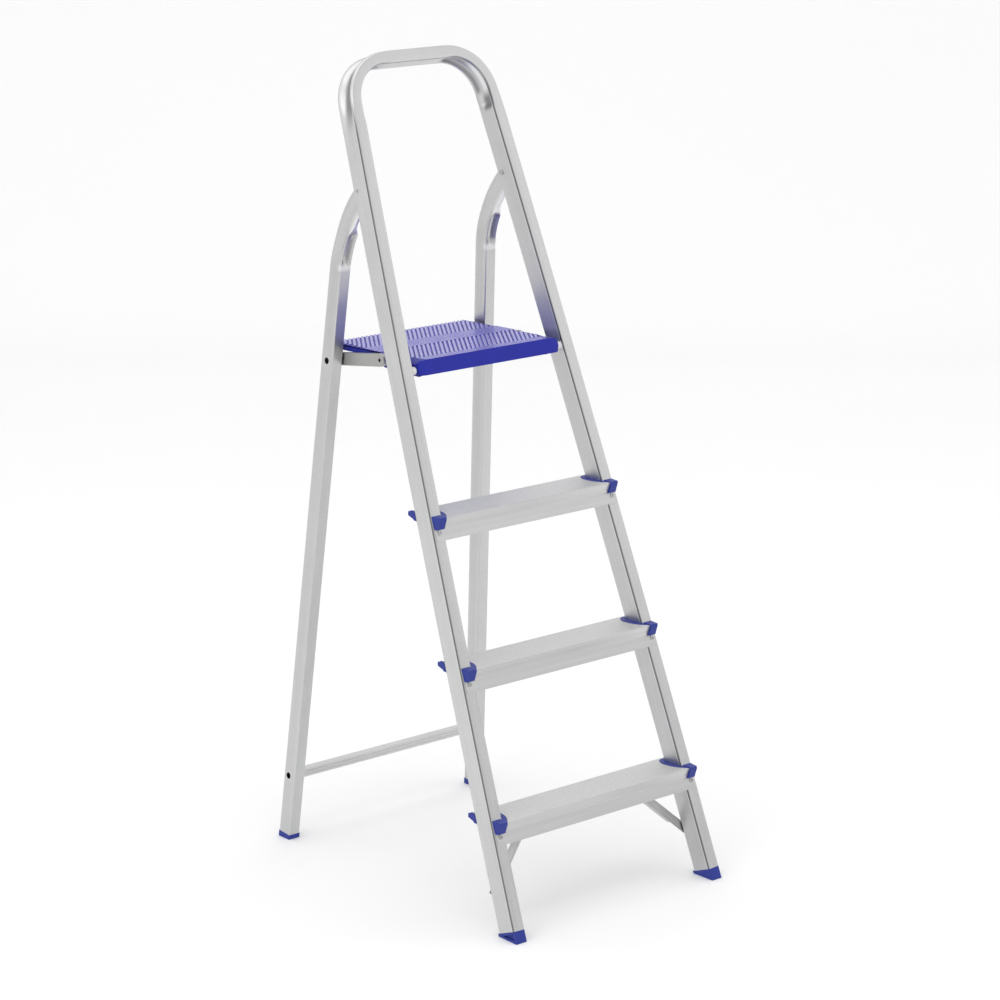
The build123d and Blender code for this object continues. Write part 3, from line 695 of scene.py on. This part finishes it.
def deck_slab(bm):
    """Deck plate with sunken rib bands, narrowed towards the front edge."""
    rows = [(DECK_Y[0] + d, 0.0) for d in (0.0, 0.010, 0.0199)]
    for (y0, y1), end in zip(RIB_BANDS, (True, False)):
        start, stop = FRONT_Y + y0, FRONT_Y + y1
        steps = [start + (stop - start) * i / 12 for i in range(13)]
        rows += [(y, RIB_H) for y in steps if y <= DECK_Y[1]]
        if end:
            rows += [(stop + 0.0001, 0.0), (FRONT_Y + RIB_BANDS[1][0] - 0.0001, 0.0)]
    rings = []
    for y, drop in rows:
        half = deck_half(y)
        top = deck_z(y) - drop
        low = deck_z(y) - DECK_T
        rings.append([(-half, y, top), (half, y, top), (half, y, low), (-half, y, low)])
    for face in loft(bm, rings, TOP):
        centre = face.calc_center_median()
        sunk = any(FRONT_Y + y0 < centre.y < FRONT_Y + y1 for y0, y1 in RIB_BANDS)
        if sunk and centre.z > deck_z(centre.y) - RIB_H - 0.0003:
            face.material_index = GROOVE


def deck_ribs(bm):
    """Diagonal ribs standing in the two sunken bands."""
    lean = tan(RIB_TURN)
    reach = DECK_HALF + 0.040
    for y0, y1 in RIB_BANDS:
        start = FRONT_Y + y0 - 0.0004
        stop = min(FRONT_Y + y1 + 0.0004, DECK_Y[1])
        middle = (start + stop) / 2
        for i in range(int(2 * reach / RIB_PITCH) + 1):
            x_mid = -reach + i * RIB_PITCH
            inside = []
            for j in range(RIB_STEPS + 1):
                y = start + (stop - start) * j / RIB_STEPS
                x = x_mid + (y - middle) * lean
                if abs(x) < deck_half(y) - 0.0026:
                    inside.append((x, y))
            if len(inside) < 3:
                continue
            rings = []
            for x, y in (inside[0], inside[-1]):
                top = deck_z(y)
                base = top - RIB_H - 0.0004
                profile = [(-0.0031, base), (-0.0027, top - 0.0005), (-0.0019, top)]
                profile += [(-dx, z) for dx, z in reversed(profile)]
                rings.append([(x + dx, y, z) for dx, z in profile])
            loft(bm, rings, RIB)


# Apron outline at each station: top, middle and bottom as (across, behind the deck's front edge, height).
APRON = (
    ((0.1290, -0.0012, 0.8733), (0.1318, -0.0050, 0.8600), (0.1340, -0.0080, 0.8495)),
    ((0.1400, -0.0008, 0.8727), (0.1425, -0.0046, 0.8600), (0.1425, -0.0072, 0.8497)),
    ((0.1470, -0.0010, 0.8706), (0.1490, -0.0036, 0.8600), (0.1462, -0.0052, 0.8500)),
    ((0.1497, 0.0030, 0.8673), (0.1500, 0.0020, 0.8600), (0.1475, 0.0010, 0.8510)),
    ((0.1497, 0.0140, 0.8665), (0.1500, 0.0130, 0.8610), (0.1480, 0.0120, 0.8530)),
    ((0.1485, 0.0240, 0.8662), (0.1487, 0.0240, 0.8642), (0.1487, 0.0235, 0.8620)),
    ((0.1480, 0.0300, 0.8661), (0.1481, 0.0300, 0.8643), (0.1481, 0.0300, 0.8625)),
)
# Rows of the ear's sloping top, from the deck's edge outward.
EAR = (
    ((0.1285, -0.0010, 0.8734), (0.1400, -0.0006, 0.8727), (0.1470, -0.0008, 0.8706)),
    ((0.1296, 0.0030, 0.8733), (0.1420, 0.0030, 0.8722), (0.1497, 0.0030, 0.8673)),
    ((0.1330, 0.0140, 0.8731), (0.1435, 0.0140, 0.8706), (0.1497, 0.0140, 0.8665)),
    ((0.1373, 0.0300, 0.8727), (0.1440, 0.0300, 0.8700), (0.1480, 0.0300, 0.8661)),
    ((0.1416, 0.0470, 0.8723), (0.1419, 0.0470, 0.8712), (0.1422, 0.0470, 0.8664)),
)


def deck_apron(bm):
    """Front apron that turns back round both ears, and the ears' sloping tops."""
    outline = [[(-x, y, z) for x, y, z in station] for station in reversed(APRON)] + list(APRON)
    rings = []
    for index, station in enumerate(outline):
        before = outline[max(0, index - 1)][1]
        after = outline[min(len(outline) - 1, index + 1)][1]
        along = Vector((after[0] - before[0], after[1] - before[1], 0)).normalized()
        inward = Vector((-along.y, along.x, 0)) * PLATE_T
        face = [Vector((x, DECK_Y[0] + y, z)) for x, y, z in station]
        back = [p + inward for p in reversed(face)]
        back[-1].z -= 0.001
        rings.append(face + back)
    loft(bm, rings, PLAIN)
    for side in (-1, 1):
        rows = []
        for row in EAR:
            upper = [Vector((side * x, DECK_Y[0] + y, z)) for x, y, z in row]
            lower = [p - Vector((side * 0.0012, 0, 0.0018)) for p in reversed(upper)]
            rows.append(upper + lower)
        loft(bm, rows)


def side_plate(bm, outline, x0, x1):
    """Plate of a side-view outline between two places across."""
    loft(bm, [[(x, y, z) for y, z in outline] for x in (x0, x1)])


def build_platform():
    """Ribbed standing platform with apron, lips, skirts and underside ribs."""
    bm = bmesh.new()
    deck_slab(bm)
    deck_ribs(bm)
    deck_apron(bm)
    y0, y1 = DECK_Y
    corner = y0 + CORNER_RUN
    low = DECK_Z[1] - LIP_DROP
    lip = [
        (corner, deck_z(corner) - 0.001),
        (y1, DECK_Z[1] - RIB_H),
        (y1, low),
        (corner, deck_z(corner) - 0.0095),
    ]
    skirt = [
        (y0 + 0.001, 0.8705),
        (y1 - 0.004, DECK_Z[1] - 0.002),
        (y1 - 0.004, low),
        (y0 + 0.125, 0.8565),
        (y0 + 0.100, SKIRT_LOW + 0.0015),
        (y0 + 0.012, SKIRT_LOW),
        (y0 - 0.004, 0.8495),
    ]
    rear = [
        (y1, DECK_Z[1] - RIB_H),
        (y1, low),
        (y1 - PLATE_T, low),
        (y1 - PLATE_T, DECK_Z[1] - 0.003),
    ]
    under = [
        (y0 + 0.001, 0.8705),
        (y1 - 0.001, 0.8665),
        (y1 - 0.001, UNDER_RIB_LOW),
        (y0 + 0.020, UNDER_RIB_LOW),
    ]
    for side in (-1, 1):
        side_plate(bm, lip, side * DECK_HALF, side * (DECK_HALF - PLATE_T))
        side_plate(bm, skirt, side * SKIRT_X, side * (SKIRT_X - PLATE_T))
    side_plate(bm, rear, -DECK_HALF, DECK_HALF)
    for x in UNDER_RIB_X:
        side_plate(bm, under, x - PLATE_T / 2, x + PLATE_T / 2)
    deck = bevelled("platform_deck", bm, (DECK_BLUE, GROOVE_SHADE_BLUE, TOP_BLUE, RIB_SHEEN_BLUE), 0.0005)
    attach(deck, "platform")
    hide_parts("platform")


LINK_ENDS = ((0.430, 0.8595), (0.5405, 0.844))  # both pivots behind the front edge and above the floor
LINK_X = (0.1425, 0.1502)
LINK_H = 0.0215
LINK_WALL = 0.0018


def stadium(radius):
    """Side-view outline of a link bar: straight edges with round ends on both pivots."""
    (yd, zd), (yc, zc) = LINK_ENDS
    along = atan2(zc - zd, yc - yd)
    outline = []
    for (y, z), start in (((yd, zd), along + pi / 2), ((yc, zc), along - pi / 2)):
        for i in range(13):
            angle = start + pi * i / 12
            outline.append((FRONT_Y + y + radius * cos(angle), z + radius * sin(angle)))
    return outline


def build_link(side):
    """Channel-shaped link bar, open inward."""
    bm = bmesh.new()
    outline = stadium(LINK_H / 2)
    side_plate(bm, outline, side * LINK_X[1], side * (LINK_X[1] - 0.002))
    hollow = stadium(LINK_H / 2 - LINK_WALL)
    rows = []
    for x in (LINK_X[1] - 0.0019, LINK_X[0]):
        rows.append([bm.verts.new((side * x, y, z)) for y, z in outline])
        rows.append([bm.verts.new((side * x, y, z)) for y, z in hollow])
    count = len(outline)
    for j in range(count):
        k = (j + 1) % count
        for a, b in ((0, 2), (2, 3), (3, 1), (1, 0)):
            bm.faces.new((rows[a][j], rows[a][k], rows[b][k], rows[b][j]))
    name = "right" if side > 0 else "left"
    bar = bevelled(f"link_{name}", bm, (LINK_METAL,), 0.0007)
    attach(bar, "link_bars")
    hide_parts(f"link_bar_{name}")


build_platform()
for side in (-1, 1):
    build_link(side)


# ---- Carried-over nodes -----------------------------------------------------------------------
def dress(nodes, mat, width):
    """Material and rounded edges for a group of carried-over nodes."""
    for node in nodes:
        obj = NODES[node]
        obj.data.materials.clear()
        obj.data.materials.append(mat)
        weld = obj.modifiers.new("weld", "WELD")
        weld.merge_threshold = 0.00002
        round_edges(obj, width, 32)


LEVELS = ("lower", "middle", "upper")
SIDES = ("left", "right")
dress([f"tread_{level}" for level in LEVELS], TREAD_METAL, 0.0006)
dress([f"tread_cap_{level}_{side}" for level in LEVELS for side in SIDES], BLUE, 0.0008)
dress([f"front_shoe_{side}" for side in SIDES], BLUE, 0.0010)
dress([f"rear_foot_{side}" for side in SIDES], BLUE, 0.0006)
dress([f"brace_{side}" for side in SIDES], FLAT_METAL, 0.0004)
dress([f"axle_bush_{side}" for side in SIDES], WHITE, 0.0005)
dress(["tread_front_rivets", "tread_rear_rivets", "brace_rivets", "leg_pivot_rivets"], RIVET_METAL, 0.0004)
dress(["platform_axle", "crossbar_screws", "link_pins", "platform_studs"], ZINC, 0.0004)
dress(["link_studs"], LINK_METAL, 0.0004)
dress(["link_washers"], DARK, 0.0004)
dress(["rear_crossbar"], BAR_METAL, 0.0012)


# ---- Studio ---------------------------------------------------------------------------------
FLOOR_HALF = 14.0
FLOOR_NEAR = -8                 # floor's near edge, along the view
FLOOR_FAR = 4                   # start of the curve up into the backdrop
CURVE_R = 3
FLOOR_ROWS = 40


def build_stage():
    """Pale floor that curves up into a backdrop behind the object."""
    heading = radians(VIEW_TURN)
    view = Vector((sin(heading), cos(heading), 0))
    right = Vector((view.y, -view.x, 0))
    verts = []
    for i in range(FLOOR_ROWS + 1):
        share = 2 * i / FLOOR_ROWS
        if share < 1:
            along, up = FLOOR_NEAR + share * (FLOOR_FAR - FLOOR_NEAR), 0.0
        else:
            angle = (share - 1) * pi / 2
            along = FLOOR_FAR + CURVE_R * sin(angle)
            up = CURVE_R * (1 - cos(angle)) + CURVE_R * (share - 1)
        for j in (-1, 1):
            verts.append(view * along + right * FLOOR_HALF * j + Vector((0, 0, up)))
    faces = [(2 * i, 2 * i + 1, 2 * i + 3, 2 * i + 2) for i in range(FLOOR_ROWS)]
    mat, n = material("floor_pale")
    coords = n.add("ShaderNodeTexCoord")
    cloud = n.noise(coords.outputs["Object"], 0.7, 2.0)
    colour = n.mix(cloud, (0.955, 0.955, 0.955, 1), (0.97, 0.97, 0.97, 1))
    finish_material(n, {"Base Color": colour, "Roughness": 0.9})
    mesh_object("floor", verts, faces, mat)


build_stage()


def area_light(name, location, target, size, power):
    """Soft rectangular light aimed at a point."""
    data = bpy.data.lights.new(name, "AREA")
    data.shape = "RECTANGLE"
    data.size, data.size_y = size
    data.energy = power
    light = bpy.data.objects.new(name, data)
    light.location = location
    light.rotation_euler = (Vector(target) - Vector(location)).to_track_quat("-Z", "Y").to_euler()
    bpy.context.collection.objects.link(light)


area_light("key_left", (-3.5, -0.5, 3.2), (0, 0, 0.7), (2.4, 2.4), 14)
area_light("key_right", (3.0, -2.6, 2.6), (0, 0, 0.7), (2.4, 2.6), 8)
area_light("top_soft", (0.0, 0.0, 4.6), (0, 0, 0), (4.0, 4.0), 30)
DARK_ZONE = (0.63, -0.72, 0.29)     # direction of the darker zone of the surround


def build_world():
    """Soft bright surround with a darker zone in front of the object."""
    world = bpy.data.worlds.new("studio")
    world.use_nodes = True
    bpy.context.scene.world = world
    n = Nodes(world.node_tree)
    coords = n.add("ShaderNodeTexCoord")
    inputs = {0: coords.outputs["Generated"], 1: DARK_ZONE}
    toward = n.add("ShaderNodeVectorMath", inputs, operation="DOT_PRODUCT")
    zone = n.span(toward.outputs["Value"], 0.60, 0.95)
    colour = n.mix(zone, (1.0, 1.0, 1.0, 1), (0.72, 0.72, 0.73, 1))
    background = n.add("ShaderNodeBackground", {"Color": colour, "Strength": 0.98})
    n.add("ShaderNodeOutputWorld", {"Surface": background.outputs[0]})


build_world()
bpy.context.scene.view_settings.view_transform = "Standard"
